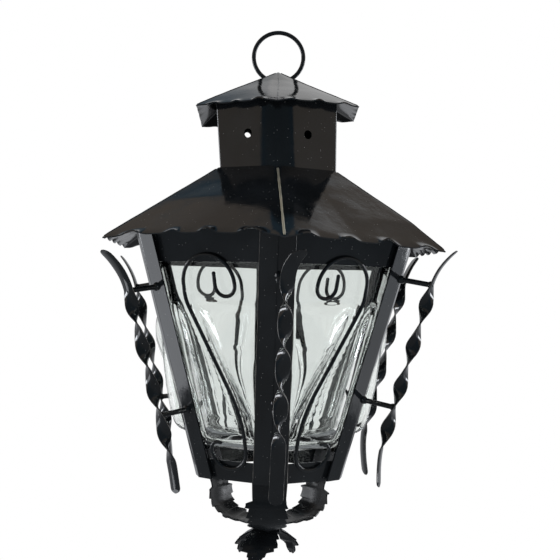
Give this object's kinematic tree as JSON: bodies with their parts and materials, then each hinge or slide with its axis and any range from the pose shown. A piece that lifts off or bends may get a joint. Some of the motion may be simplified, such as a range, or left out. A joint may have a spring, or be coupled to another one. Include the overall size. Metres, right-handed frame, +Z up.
{
  "type": "hanging lantern",
  "caption": "Six-sided hanging lantern: swinging ring, vented cap and chimney, rippled roof, tapered iron cage with twisted ribbons and scrolls, bulging blown glass.",
  "frame": {"origin": "the point on a hook that the lantern hangs from: the inside of the hanging ring at its top", "axes": "+Z up; -Y towards the front, where one corner of the cage faces; +X to the right seen from the front"},
  "size_m": [0.2602, 0.2944, 0.4122],
  "materials": {
    "iron": "black gloss paint over hand-cut sheet iron",
    "ring": "black gloss paint over round rod",
    "glass": "clear hand-blown, slightly wavy, with small bubbles",
    "steel": "zinc plated",
    "brass": "plain turned",
    "porcelain": "glazed white porcelain"
  },
  "bodies": {
    "ring": {"hanging_ring": "ring"},
    "lantern": {"chimney": "iron", "glass": "glass", "ribbon_studs": "iron", "roof_tabs": "iron", "roof_screws": "steel", "lamp_strap": "steel", "lamp_nipple": "brass", "lamp_nuts": "brass", "lamp_holder": "porcelain", "lamp_screw_shell": "brass", "lamp_contact": "brass", "cap_panel_front_right": "iron", "cap_panel_right": "iron", "cap_panel_back_right": "iron", "cap_panel_back_left": "iron", "cap_panel_left": "iron", "cap_panel_front_left": "iron", "roof_panel_front_right": "iron", "roof_panel_right": "iron", "roof_panel_back_right": "iron", "roof_panel_back_left": "iron", "roof_panel_left": "iron", "roof_panel_front_left": "iron", "top_rail_front_right": "iron", "top_rail_right": "iron", "top_rail_back_right": "iron", "top_rail_back_left": "iron", "top_rail_left": "iron", "top_rail_front_left": "iron", "bottom_rail_front_right": "iron", "bottom_rail_right": "iron", "bottom_rail_back_right": "iron", "bottom_rail_back_left": "iron", "bottom_rail_left": "iron", "bottom_rail_front_left": "iron", "scroll_front_right": "iron", "scroll_right": "iron", "scroll_back_right": "iron", "scroll_back_left": "iron", "scroll_left": "iron", "scroll_front_left": "iron", "post_front": "iron", "post_front_right": "iron", "post_back_right": "iron", "post_back": "iron", "post_back_left": "iron", "post_front_left": "iron", "ribbon_front": "iron", "ribbon_front_right": "iron", "ribbon_back_right": "iron", "ribbon_back": "iron", "ribbon_back_left": "iron", "ribbon_front_left": "iron", "leaf_bracket_front": "iron", "leaf_bracket_back_right": "iron", "leaf_bracket_back_left": "iron"}
  },
  "joints": [
    {"name": "ring_swing", "type": "hinge", "parent": "ring", "child": "lantern", "pos_m": [0, 0, -0.03515], "axis": [1, 0, 0], "range_deg": [-60, 60]}
  ]
}
